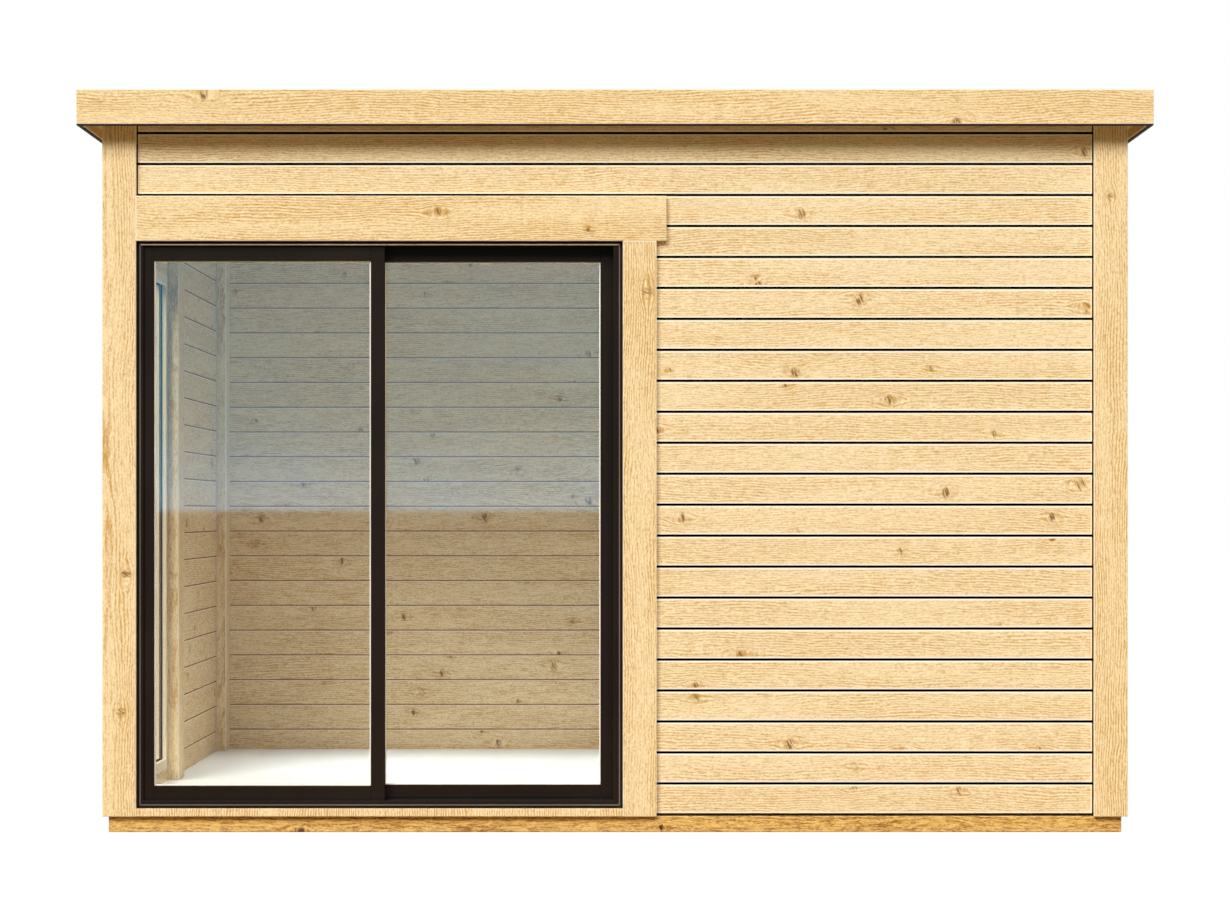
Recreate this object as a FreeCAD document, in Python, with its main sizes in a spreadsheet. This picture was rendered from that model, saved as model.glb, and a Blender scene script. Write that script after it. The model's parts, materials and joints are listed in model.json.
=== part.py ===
import FreeCAD, Part
import os
import re
import Sketcher

# Garden house with a flat roof, a two-track sliding door and a fixed side window.
# Millimetres. +X is to the right seen from the front, +Y runs from the front to the back, +Z is up.
# The origin is on the ground in the middle of the plan.

SIZES = {
    # plan and walls
    "house_width": 3630,
    "house_depth": 2550,
    "wall_thickness": 44,
    "wall_top": 2530,
    "post_thickness": 45,
    "post_width": 140,
    "corner_post_width": 120,
    # base and floor
    "base_beam_height": 58,
    "base_beam_width": 70,
    "floor_thickness": 28,
    "joist_width": 45,
    "joist_count": 5,
    # roof
    "rafter_height": 70,
    "rafter_width": 45,
    "rafter_count": 7,
    "rim_thickness": 20,
    "deck_thickness": 18,
    "membrane_thickness": 3,
    "roof_overhang": 98,
    "fascia_thickness": 20,
    "fascia_height": 124,
    "fascia_upstand": 28,
    "batten_size": 45,
    "batten_gap": 2,
    # outside trim boards
    "trim_thickness": 20,
    "corner_board_width": 121,
    "side_trim_width": 121,
    "header_trim_height": 161,
    "header_trim_overrun": 35,
    "trim_cover": 12,
    # door frame of two tracks
    "door_width": 1766,
    "door_height": 2044,
    "profile_wall": 4,
    "left_jamb_web": 16,
    "right_jamb_web": 36,
    "head_web": 16,
    "jamb_lip": 20,
    "head_lip": 12,
    "sill_lip": 27,
    "track_rib_width": 4,
    "tip_chamfer": 1,
    # sliding sashes
    "sash_thickness": 26,
    "sash_clearance": 5,
    "sash_end_gap": 6,
    "sash_top_gap": 7,
    "sash_overlap": 54,
    "stile_width": 50,
    "top_rail_height": 58,
    "bottom_rail_height": 47,
    "glass_thickness": 6,
    "glass_bite": 10,
    "groove_depth": 12,
    "roller_radius": 12,
    "roller_width": 8,
    "roller_gap": 0.3,
    "roller_inset": 120,
    "roller_channel_width": 12,
    "roller_channel_depth": 22,
    "axle_radius": 3,
    # side window
    "window_rear_distance": 1045,
    "window_width": 840,
    "window_height": 1950,
    "window_sill_height": 75,
    "window_frame_width": 40,
    "casing_width": 90,
}

doc = FreeCAD.newDocument("garden_house")
sheet = doc.addObject("Spreadsheet::Sheet", "sizes")
for row, (name, value) in enumerate(SIZES.items(), start=1):
    sheet.set(f"A{row}", name)
    sheet.set(f"B{row}", str(value))
    sheet.setAlias(f"B{row}", name)
doc.recompute()

sub_parts = []


def formula(text):
    """A formula in size names, written so that it reads them from the sheet."""
    return re.sub(r"[a-z]+(_[a-z]+)*", lambda word: f"sizes.{word.group()}", str(text))


def value_of(text):
    """The number that a formula gives now."""
    return float(sheet.evalExpression(formula(text)))


def box(label, low, high):
    """A straight sawn piece between its lowest and its highest corner, each of three formulas."""
    piece = doc.addObject("Part::Box", label)
    for side, axis, start, end in zip(("Length", "Width", "Height"), "xyz", low, high):
        piece.setExpression(side, formula(f"({end}) - ({start})"))
        piece.setExpression(f".Placement.Base.{axis}", formula(start))
    return piece


def sub_part(label, piece):
    """Names a finished sub-part."""
    piece.Label = label
    sub_parts.append(piece)
    return piece


def board(label, low, high):
    return sub_part(label, box(label, low, high))


def set_of(label, pieces):
    """Like pieces of one sub-part that don't touch each other."""
    bundle = doc.addObject("Part::Compound", label)
    bundle.Links = pieces
    return sub_part(label, bundle)


def box_set(label, corners):
    return set_of(label, [box(f"{label}_{n}", low, high) for n, (low, high) in enumerate(corners, start=1)])


def draw_outline(sketch, corners):
    """Draws a closed outline whose corners, two formulas each, are measured from the sketch's origin."""
    points = [FreeCAD.Vector(value_of(across), value_of(up), 0) for across, up in corners]
    for start, end in zip(points, points[1:] + points[:1]):
        sketch.addGeometry(Part.LineSegment(start, end), False)
    count = len(points)
    for n in range(count):
        sketch.addConstraint(Sketcher.Constraint("Coincident", n, 2, (n + 1) % count, 1))
    for n, (point, corner) in enumerate(zip(points, corners)):
        for kind, axis, distance, text in (("DistanceX", -2, point.x, corner[0]), ("DistanceY", -1, point.y, corner[1])):
            if abs(distance) < 1e-9:
                sketch.addConstraint(Sketcher.Constraint("PointOnObject", n, 1, axis))
            else:
                index = sketch.addConstraint(Sketcher.Constraint(kind, -1, 1, n, 1, distance))
                sketch.setExpression(f"Constraints[{index}]", formula(text))


def extrusion(label, plane, corners, length, place):
    """A drawn profile: its section lies on a plane of the body, which is set at a place."""
    body = doc.addObject("PartDesign::Body", label)
    section = body.newObject("Sketcher::SketchObject", f"{label}_section")
    plane_object = [item for item in body.Origin.OriginFeatures if item.Role == plane][0]
    section.AttachmentSupport = [(plane_object, "")]
    section.MapMode = "FlatFace"
    draw_outline(section, corners)
    pad = body.newObject("PartDesign::Pad", f"{label}_length")
    pad.Profile = section
    pad.setExpression("Length", formula(length))
    for axis, start in zip("xyz", place):
        body.setExpression(f".Placement.Base.{axis}", formula(start))
    return body


def mirrored(corners, width):
    """The same outline turned round left to right within its width."""
    return [(f"{width} - ({across})", up) for across, up in reversed(corners)]


def upside_down(corners, height):
    """The same outline turned round top to bottom within its height."""
    return [(across, f"{height} - ({up})") for across, up in reversed(corners)]


# Planes that many pieces share

half_width = "house_width / 2"
half_depth = "house_depth / 2"
inner_half_width = "(house_width / 2 - wall_thickness)"
inner_half_depth = "(house_depth / 2 - wall_thickness)"
post_half_width = f"({inner_half_width} - post_thickness)"
floor_top = "(base_beam_height + floor_thickness)"
deck_bottom = "(wall_top + rafter_height)"
deck_top = f"({deck_bottom} + deck_thickness)"
trim_front = f"(-{half_depth} - trim_thickness)"

door_left = f"(-{post_half_width})"
door_right = f"({door_left} + door_width)"
door_top = f"({floor_top} + door_height)"
trim_left = f"({door_left} + trim_cover)"
trim_right = f"({door_right} - trim_cover)"
trim_top = f"({door_top} - trim_cover)"

window_rear = f"(-{half_depth} + window_rear_distance)"
window_front = f"({window_rear} - window_width)"
window_bottom = "(base_beam_height + window_sill_height)"
window_top = f"({window_bottom} + window_height)"


def base_and_floor():
    beam_inner_x = f"({half_width} - base_beam_width)"
    beam_inner_y = f"({half_depth} - base_beam_width)"
    box_set("base_beams_long", [
        ((f"-{half_width}", f"-{half_depth}", 0), (half_width, f"-{beam_inner_y}", "base_beam_height")),
        ((f"-{half_width}", beam_inner_y, 0), (half_width, half_depth, "base_beam_height")),
    ])
    box_set("base_beams_short", [
        ((f"-{half_width}", f"-{beam_inner_y}", 0), (f"-{beam_inner_x}", beam_inner_y, "base_beam_height")),
        ((beam_inner_x, f"-{beam_inner_y}", 0), (half_width, beam_inner_y, "base_beam_height")),
    ])
    joists = []
    for n in range(SIZES["joist_count"]):
        middle = f"(2 * {beam_inner_x} * {n + 1} / (joist_count + 1) - {beam_inner_x})"
        low = (f"{middle} - joist_width / 2", f"-{beam_inner_y}", 0)
        joists.append((low, (f"{middle} + joist_width / 2", beam_inner_y, "base_beam_height")))
    box_set("floor_joists", joists)
    board("floor_deck", (f"-{inner_half_width}", f"-{inner_half_depth}", "base_beam_height"),
          (inner_half_width, inner_half_depth, floor_top))
    board("door_sill_beam", (f"-{inner_half_width}", f"-{half_depth}", "base_beam_height"),
          (door_right, f"-{inner_half_depth}", floor_top))


def posts():
    back = f"{inner_half_depth} - corner_post_width"
    front = f"corner_post_width - {inner_half_depth}"
    box_set("corner_posts", [
        ((f"-{inner_half_width}", f"-{half_depth}", floor_top), (door_left, front, "wall_top")),
        ((post_half_width, f"-{inner_half_depth}", floor_top), (inner_half_width, front, "wall_top")),
        ((f"-{inner_half_width}", back, floor_top), (f"-{post_half_width}", inner_half_depth, "wall_top")),
        ((post_half_width, back, floor_top), (inner_half_width, inner_half_depth, "wall_top")),
    ])
    board("door_post", (door_right, f"-{inner_half_depth}", floor_top),
          (f"{door_right} + post_width", f"post_thickness - {inner_half_depth}", "wall_top"))
    box_set("middle_posts", [
        ((f"-{inner_half_width}", window_rear, floor_top),
         (f"-{post_half_width}", f"{window_rear} + post_width", "wall_top")),
        ((post_half_width, "-post_width / 2", floor_top), (inner_half_width, "post_width / 2", "wall_top")),
    ])


def walls():
    """Solid board walls: the side walls run the full depth, and the others fit between them."""
    foot = "base_beam_height"
    board("front_wall_beside_door", (door_right, f"-{half_depth}", foot),
          (inner_half_width, f"-{inner_half_depth}", "wall_top"))
    board("front_wall_over_door", (door_left, f"-{half_depth}", door_top),
          (door_right, f"-{inner_half_depth}", "wall_top"))
    board("back_wall", (f"-{inner_half_width}", inner_half_depth, foot), (inner_half_width, half_depth, "wall_top"))
    board("right_wall", (inner_half_width, f"-{half_depth}", foot), (half_width, half_depth, "wall_top"))
    outer = f"-{half_width}"
    inner = f"-{inner_half_width}"
    box_set("left_wall_beside_window", [
        ((outer, f"-{half_depth}", foot), (inner, window_front, "wall_top")),
        ((outer, window_rear, foot), (inner, half_depth, "wall_top")),
    ])
    board("left_wall_over_window", (outer, window_front, window_top), (inner, window_rear, "wall_top"))
    board("left_wall_under_window", (outer, window_front, foot), (inner, window_rear, window_bottom))


def corner_boards():
    """Each corner is cased by one board on its front or back and one on its side."""
    outer_x = f"({half_width} + trim_thickness)"
    inner_x = f"({outer_x} - corner_board_width)"
    outer_y = f"({half_depth} + trim_thickness)"
    inner_y = f"({outer_y} - corner_board_width)"
    foot = "base_beam_height"
    ends = []
    sides = []
    for low_y, high_y in ((f"-{outer_y}", f"-{half_depth}"), (half_depth, outer_y)):
        ends.append(((f"-{outer_x}", low_y, foot), (f"-{inner_x}", high_y, deck_bottom)))
        ends.append(((inner_x, low_y, foot), (outer_x, high_y, deck_bottom)))
    for low_x, high_x in ((f"-{outer_x}", f"-{half_width}"), (half_width, outer_x)):
        sides.append(((low_x, f"-{half_depth}", foot), (high_x, f"-{inner_y}", deck_bottom)))
        sides.append(((low_x, inner_y, foot), (high_x, half_depth, deck_bottom)))
    box_set("end_corner_boards", ends)
    box_set("side_corner_boards", sides)


def door_trim():
    left = f"(corner_board_width - {half_width} - trim_thickness)"
    face = f"-{half_depth}"
    board("door_header_trim", (left, trim_front, trim_top),
          (f"{trim_right} + side_trim_width + header_trim_overrun", face, f"{trim_top} + header_trim_height"))
    board("door_side_trim", (trim_right, trim_front, "base_beam_height"),
          (f"{trim_right} + side_trim_width", face, trim_top))
    board("door_sill_strip", (left, trim_front, "base_beam_height"), (trim_right, face, floor_top))


def roof():
    rim_x = f"({half_width} - rim_thickness)"
    rim_y = f"({half_depth} - rim_thickness)"
    box_set("rim_boards_long", [
        ((f"-{half_width}", f"-{half_depth}", "wall_top"), (half_width, f"-{rim_y}", deck_bottom)),
        ((f"-{half_width}", rim_y, "wall_top"), (half_width, half_depth, deck_bottom)),
    ])
    box_set("rim_boards_short", [
        ((f"-{half_width}", f"-{rim_y}", "wall_top"), (f"-{rim_x}", rim_y, deck_bottom)),
        ((rim_x, f"-{rim_y}", "wall_top"), (half_width, rim_y, deck_bottom)),
    ])
    rafters = []
    for n in range(SIZES["rafter_count"]):
        middle = f"(2 * {rim_x} * {n + 1} / (rafter_count + 1) - {rim_x})"
        low = (f"{middle} - rafter_width / 2", f"-{rim_y}", "wall_top")
        rafters.append((low, (f"{middle} + rafter_width / 2", rim_y, deck_bottom)))
    box_set("rafters", rafters)

    fascia_x = f"({half_width} + roof_overhang)"
    fascia_y = f"({half_depth} + roof_overhang)"
    edge_x = f"({fascia_x} - fascia_thickness)"
    edge_y = f"({fascia_y} - fascia_thickness)"
    membrane_top = f"({deck_top} + membrane_thickness)"
    board("roof_deck", (f"-{edge_x}", f"-{edge_y}", deck_bottom), (edge_x, edge_y, deck_top))
    board("roof_membrane", (f"-{edge_x}", f"-{edge_y}", deck_top), (edge_x, edge_y, membrane_top))

    fascia_top = f"({membrane_top} + fascia_upstand)"
    fascia_bottom = f"({fascia_top} - fascia_height)"
    box_set("fascias_long", [
        ((f"-{fascia_x}", f"-{fascia_y}", fascia_bottom), (fascia_x, f"-{edge_y}", fascia_top)),
        ((f"-{fascia_x}", edge_y, fascia_bottom), (fascia_x, fascia_y, fascia_top)),
    ])
    box_set("fascias_short", [
        ((f"-{fascia_x}", f"-{edge_y}", fascia_bottom), (f"-{edge_x}", edge_y, fascia_top)),
        ((edge_x, f"-{edge_y}", fascia_bottom), (fascia_x, edge_y, fascia_top)),
    ])

    batten_x = f"({edge_x} - batten_size)"
    batten_y = f"({edge_y} - batten_size)"
    short_y = f"({batten_y} - batten_gap)"
    low_z = f"{deck_bottom} - batten_size"
    box_set("eaves_battens", [
        ((f"-{edge_x}", f"-{edge_y}", low_z), (edge_x, f"-{batten_y}", deck_bottom)),
        ((f"-{edge_x}", batten_y, low_z), (edge_x, edge_y, deck_bottom)),
        ((f"-{edge_x}", f"-{short_y}", low_z), (f"-{batten_x}", short_y, deck_bottom)),
        ((batten_x, f"-{short_y}", low_z), (edge_x, short_y, deck_bottom)),
    ])


# The sliding door: a frame of drawn profiles with two tracks, and a sash on each track

track_pocket = "(sash_thickness + 2 * sash_clearance)"
front_fin = f"(profile_wall + {track_pocket})"
back_pocket = f"(2 * profile_wall + {track_pocket})"
back_lip = f"(2 * profile_wall + 2 * {track_pocket})"
frame_depth = f"(3 * profile_wall + 2 * {track_pocket})"
roller_reach = f"({floor_top} + sill_lip + roller_gap)"
sash_bottom = f"({floor_top} + sill_lip + sash_clearance)"
sash_top = f"({door_top} - head_web - sash_top_gap)"
sash_height = f"({sash_top} - {sash_bottom})"
left_sash_start = f"({door_left} + left_jamb_web + sash_end_gap)"
right_sash_end = f"({door_right} - right_jamb_web - sash_end_gap)"
sash_width = f"(({right_sash_end} - {left_sash_start} + sash_overlap) / 2)"
rail_width = f"({sash_width} - 2 * stile_width)"
glass_front = "((sash_thickness - glass_thickness) / 2)"
glass_back = "((sash_thickness + glass_thickness) / 2)"


def lip_outline(thickness, reach):
    """A flat lip with both edges of its tip taken off. Its foot lies along the first axis."""
    return [
        ("0", "0"),
        (thickness, "0"),
        (thickness, f"{reach} - tip_chamfer"),
        (f"{thickness} - tip_chamfer", reach),
        ("tip_chamfer", reach),
        ("0", f"{reach} - tip_chamfer"),
    ]


def turned(corners, reach, points_right):
    """The same outline with its foot along the second axis, pointing to the right or to the left."""
    if points_right:
        return [(up, across) for across, up in reversed(corners)]
    return [(f"{reach} - ({up})", across) for across, up in corners]


def door_frame():
    """Flat webs all round. The lips on them leave a pocket for each sash, and a rib runs in each track of the sill."""
    front = f"(-{half_depth})"
    back = f"({front} + {frame_depth})"
    sill_floor = f"({floor_top} + profile_wall)"
    head_soffit = f"({door_top} - head_web)"
    jamb_bottom = f"({floor_top} + sill_lip)"
    jamb_top = f"({head_soffit} - head_lip)"
    left_web = f"({door_left} + left_jamb_web)"
    right_web = f"({door_right} - right_jamb_web)"
    right_reach = "(jamb_lip / 2)"
    board("door_sill_track", (door_left, front, floor_top), (door_right, back, sill_floor))
    board("door_head_track", (door_left, front, head_soffit), (door_right, back, door_top))
    board("door_jamb_left", (door_left, front, jamb_bottom), (left_web, back, jamb_top))
    board("door_jamb_right", (right_web, front, jamb_bottom), (door_right, back, jamb_top))

    upright = [("left", left_web, "jamb_lip", True),
               ("right", f"({right_web} - {right_reach})", right_reach, False)]
    level = [("sill", sill_floor, "(sill_lip - profile_wall)", False), ("head", jamb_top, "head_lip", True)]
    jamb_lips, track_lips = [], []
    for number, depth in enumerate(("0", front_fin, back_lip), start=1):
        place = f"{front} + {depth}"
        for side, start, reach, points_right in upright:
            outline = turned(lip_outline("profile_wall", reach), reach, points_right)
            jamb_lips.append(extrusion(f"jamb_lip_{side}_{number}", "XY_Plane", outline,
                                       f"{jamb_top} - {jamb_bottom}", (start, place, jamb_bottom)))
        for side, foot, reach, hangs in level:
            outline = lip_outline("profile_wall", reach)
            outline = upside_down(outline, reach) if hangs else outline
            track_lips.append(extrusion(f"track_lip_{side}_{number}", "YZ_Plane", outline, "door_width",
                                        (door_left, place, foot)))
    rib_height = "(sill_lip - profile_wall)"
    for number, pocket in enumerate(("profile_wall", back_pocket), start=1):
        place = f"{front} + {pocket} + ({track_pocket} - track_rib_width) / 2"
        track_lips.append(extrusion(f"running_rib_{number}", "YZ_Plane", lip_outline("track_rib_width", rib_height),
                                    "door_width", (door_left, place, sill_floor)))
    set_of("door_jamb_lips", jamb_lips)
    set_of("door_track_lips", track_lips)


def groove_outline(width):
    """A sash bar with a groove for the glass in its far edge."""
    return [
        ("0", "0"),
        (width, "0"),
        (width, glass_front),
        (f"{width} - groove_depth", glass_front),
        (f"{width} - groove_depth", glass_back),
        (width, glass_back),
        (width, "sash_thickness"),
        ("0", "sash_thickness"),
    ]


def bottom_rail_outline():
    """The bottom rail takes the glass in its top edge and the rollers in its bottom edge."""
    channel_front = "(sash_thickness - roller_channel_width) / 2"
    channel_back = "(sash_thickness + roller_channel_width) / 2"
    top = "bottom_rail_height"
    return [
        ("0", "0"),
        (channel_front, "0"),
        (channel_front, "roller_channel_depth"),
        (channel_back, "roller_channel_depth"),
        (channel_back, "0"),
        ("sash_thickness", "0"),
        ("sash_thickness", top),
        (glass_back, top),
        (glass_back, f"{top} - groove_depth"),
        (glass_front, f"{top} - groove_depth"),
        (glass_front, top),
        ("0", top),
    ]


def roller(label, middle, front):
    """A wheel on an axle that spans the channel of the bottom rail."""
    pieces = []
    channel = f"{front} + (sash_thickness - roller_channel_width) / 2"
    wheel = f"{front} + (sash_thickness - roller_width) / 2"
    for name, radius, length, start in (("wheel", "roller_radius", "roller_width", wheel),
                                        ("axle", "axle_radius", "roller_channel_width", channel)):
        round_piece = doc.addObject("Part::Cylinder", f"{label}_{name}")
        round_piece.setExpression("Radius", formula(radius))
        round_piece.setExpression("Height", formula(length))
        round_piece.Placement = FreeCAD.Placement(FreeCAD.Vector(), FreeCAD.Rotation(FreeCAD.Vector(1, 0, 0), -90))
        for axis, place in zip("xyz", (middle, start, f"{roller_reach} + roller_radius")):
            round_piece.setExpression(f".Placement.Base.{axis}", formula(place))
        pieces.append(round_piece)
    joined = doc.addObject("Part::Fuse", label)
    joined.Base, joined.Tool = pieces
    return joined


def sash(name, left, front):
    """One sliding sash: two stiles, two rails, the glass and two rollers."""
    right = f"({left} + {sash_width})"
    stile = groove_outline("stile_width")
    set_of(f"{name}_stiles", [
        extrusion(f"{name}_stile_left", "XY_Plane", stile, sash_height, (left, front, sash_bottom)),
        extrusion(f"{name}_stile_right", "XY_Plane", mirrored(stile, "stile_width"), sash_height,
                  (f"{right} - stile_width", front, sash_bottom)),
    ])
    top_rail = [(depth, f"top_rail_height - ({up})") for up, depth in groove_outline("top_rail_height")]
    rail_left = f"({left} + stile_width)"
    set_of(f"{name}_rails", [
        extrusion(f"{name}_rail_top", "YZ_Plane", top_rail, rail_width,
                  (rail_left, front, f"{sash_top} - top_rail_height")),
        extrusion(f"{name}_rail_bottom", "YZ_Plane", bottom_rail_outline(), rail_width,
                  (rail_left, front, sash_bottom)),
    ])
    board(f"{name}_glass",
          (f"{rail_left} - glass_bite", f"{front} + {glass_front}", f"{sash_bottom} + bottom_rail_height - glass_bite"),
          (f"{right} - stile_width + glass_bite", f"{front} + {glass_back}",
           f"{sash_top} - top_rail_height + glass_bite"))
    set_of(f"{name}_rollers", [
        roller(f"{name}_roller_left", f"{left} + roller_inset", front),
        roller(f"{name}_roller_right", f"{right} - roller_inset", front),
    ])


def sashes():
    first_track = f"(profile_wall + sash_clearance - {half_depth})"
    second_track = f"({back_pocket} + sash_clearance - {half_depth})"
    sash("left_sash", left_sash_start, first_track)
    sash("right_sash", f"({right_sash_end} - {sash_width})", second_track)


def side_window():
    """A fixed full-height window in the left wall, cased outside like the door."""
    frame = "window_frame_width"
    outer = f"-{half_width}"
    glass_low = "((wall_thickness - glass_thickness) / 2)"
    glass_high = "((wall_thickness + glass_thickness) / 2)"
    bar = [
        ("0", "0"),
        ("wall_thickness", "0"),
        ("wall_thickness", frame),
        (glass_high, frame),
        (glass_high, f"{frame} - groove_depth"),
        (glass_low, f"{frame} - groove_depth"),
        (glass_low, frame),
        ("0", frame),
    ]
    set_of("side_window_jambs", [
        extrusion("side_window_jamb_front", "XY_Plane", bar, "window_height", (outer, window_front, window_bottom)),
        extrusion("side_window_jamb_rear", "XY_Plane", upside_down(bar, frame), "window_height",
                  (outer, f"{window_rear} - {frame}", window_bottom)),
    ])
    rail_length = f"window_width - 2 * {frame}"
    rail_rear = f"{window_rear} - {frame}"
    rails = []
    for name, outline, low in (("bottom", bar, window_bottom),
                               ("top", upside_down(bar, frame), f"{window_top} - {frame}")):
        rail = extrusion(f"side_window_rail_{name}", "XZ_Plane", outline, rail_length, (outer, rail_rear, low))
        rails.append(rail)
    set_of("side_window_rails", rails)
    board("side_window_glass",
          (f"{outer} + {glass_low}", f"{window_front} + {frame} - glass_bite", f"{window_bottom} + {frame} - glass_bite"),
          (f"{outer} + {glass_high}", f"{rail_rear} + glass_bite", f"{window_top} - {frame} + glass_bite"))
    face = f"-{half_width} - trim_thickness"
    casing_front = f"{window_front} - casing_width"
    casing_rear = f"{window_rear} + casing_width"
    box_set("window_casings_upright", [
        ((face, casing_front, window_bottom), (outer, window_front, window_top)),
        ((face, window_rear, window_bottom), (outer, casing_rear, window_top)),
    ])
    box_set("window_casings_level", [
        ((face, casing_front, "base_beam_height"), (outer, casing_rear, window_bottom)),
        ((face, casing_front, window_top), (outer, casing_rear, f"{window_top} + casing_width")),
    ])


def check_document():
    """Stops if anything failed to compute, because a failed object raises nothing by itself."""
    for item in doc.Objects:
        if "Invalid" in item.State or "Error" in item.State:
            raise RuntimeError(f"{item.Label} did not compute: {item.State}")
    for piece in sub_parts:
        if piece.Shape.isNull() or not piece.Shape.isValid() or piece.Shape.Volume <= 0:
            raise RuntimeError(f"{piece.Label} has no valid shape")


base_and_floor()
posts()
walls()
corner_boards()
door_trim()
roof()
door_frame()
sashes()
side_window()
doc.recompute()
check_document()

os.makedirs("parts", exist_ok=True)
for piece in sub_parts:
    piece.Shape.exportStep(f"parts/{piece.Label}.step")
    print(f"{piece.Label}: {len(piece.Shape.Solids)} solids, {piece.Shape.Volume / 1e9:.4f} cubic metres")
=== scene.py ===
"""The finish of a garden house: boards, trim, roofing, sliding door, glass, light and camera."""

import json
import math

import bmesh
import bpy
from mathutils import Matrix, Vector

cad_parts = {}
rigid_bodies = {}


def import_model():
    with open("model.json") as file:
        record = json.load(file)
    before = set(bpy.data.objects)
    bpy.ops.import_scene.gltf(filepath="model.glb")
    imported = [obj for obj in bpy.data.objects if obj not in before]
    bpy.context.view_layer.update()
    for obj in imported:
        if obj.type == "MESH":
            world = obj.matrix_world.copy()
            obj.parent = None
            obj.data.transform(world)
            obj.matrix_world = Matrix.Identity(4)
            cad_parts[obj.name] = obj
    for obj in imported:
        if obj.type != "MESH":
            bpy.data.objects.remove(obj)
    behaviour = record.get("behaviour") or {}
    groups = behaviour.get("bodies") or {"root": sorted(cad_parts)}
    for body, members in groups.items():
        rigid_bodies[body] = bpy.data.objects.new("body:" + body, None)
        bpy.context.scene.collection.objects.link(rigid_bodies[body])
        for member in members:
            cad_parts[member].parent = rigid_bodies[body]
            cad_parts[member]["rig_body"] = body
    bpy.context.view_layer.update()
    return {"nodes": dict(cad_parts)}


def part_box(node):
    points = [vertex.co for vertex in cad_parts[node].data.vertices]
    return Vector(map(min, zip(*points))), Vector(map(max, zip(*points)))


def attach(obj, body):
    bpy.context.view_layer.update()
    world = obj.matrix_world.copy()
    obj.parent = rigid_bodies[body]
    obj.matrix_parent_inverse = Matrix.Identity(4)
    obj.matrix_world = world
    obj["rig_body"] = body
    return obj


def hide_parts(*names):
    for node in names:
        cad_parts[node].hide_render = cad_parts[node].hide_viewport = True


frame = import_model()

bl_info = {
    "name": "Garden House Finish",
    "version": (1, 0, 0),
    "blender": (4, 5, 0),
    "location": "3D View > Sidebar > Garden House",
    "description": "Dresses the frame of a garden house in boards, roofing, drawn door profiles and glass",
    "category": "Object",
}

SCREEN_LEVELS = 255
PHOTO_WIDTH = 1230
EYE_HEIGHT = 1.146

# The grain attribute, the metres of wood from one solid to the next, and their share across the grain
GRAIN = "grain"
SEED_STEP = 7.31
SEED_ACROSS = 0.37

# Cells a metre in which knots may sit, along and across the grain, and how close the year rings are
KNOTS_ALONG = 2.3
KNOTS_ACROSS = 9.0
RING_FREQUENCY = 690.0

# Metres and degrees within which vertices are one, faces are level and edges are not rounded
WELD_DISTANCE = 1e-5
FLAT_ANGLE = 1
SHARP_ANGLE = 30

# Small sizes that the panel doesn't show, in metres
TRACK_ROUNDING = 0.0007
SASH_ROUNDING = 0.0015
GLASS_ROUNDING = 0.0005
ROLLER_ROUNDING = 0.0006
SHEET_ROUNDING = 0.0008
BOARD_GAP = 0.0015
LAP_END_GAP = 0.002
# Depth of the painted shade strip under the fascias.
SHADE_STRIP_THICKNESS = 0.012
SEAL_THICKNESS = 0.002
SEAL_END_GAP = 0.002

# Name, direction, strength and spread in degrees of the even lights
SUNS = (
    ("key_light", (0.6, 1.0, -0.93), 2.45, 28),
    ("second_light", (-0.25, 1.0, -1.05), 1.27, 28),
    ("left_fill", (1.0, -0.55, -0.8), 0.9, 40),
    ("right_fill", (-1.0, -0.55, -0.8), 0.9, 40),
)
SHADE_STRENGTH = 0.2
SHADE_COLOUR = (1.0, 0.62, 0.06)
ROOM_LIGHT_POWER = 19.5
ROOM_LIGHT_COLOUR = (0.88, 0.95, 1.0)
ROOM_LIGHT_SPREAD = 34
ROOM_LIGHT_SHARES = (0.9, 0.6)
ROOM_LIGHT_SHIFT = 0.25
ROOM_LIGHT_DROP = 0.05
SKY_CLIMB = 0.5
HORIZON_BELOW = 0.012
HORIZON_ABOVE = 0.024
MIRROR_GLOW = 1.6
STAGE_EDGE = 60.0


def srgb(red, green, blue):
    """A colour named in 0 to 255 screen values, as the linear values that materials use."""
    linear = []
    for level in (red, green, blue):
        share = level / SCREEN_LEVELS
        linear.append(share / 12.92 if share <= 0.04045 else ((share + 0.055) / 1.055) ** 2.4)
    return tuple(linear)


def length_property(name, description, default):
    """A length that the panel shows."""
    return bpy.props.FloatProperty(name=name, description=description, default=default, min=0,
                                   unit="LENGTH", precision=4)


def colour_property(name, description, *screen):
    """A colour that the panel shows, named in screen values."""
    return bpy.props.FloatVectorProperty(name=name, description=description, default=srgb(*screen),
                                         size=3, min=0, max=1, subtype="COLOR")


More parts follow.
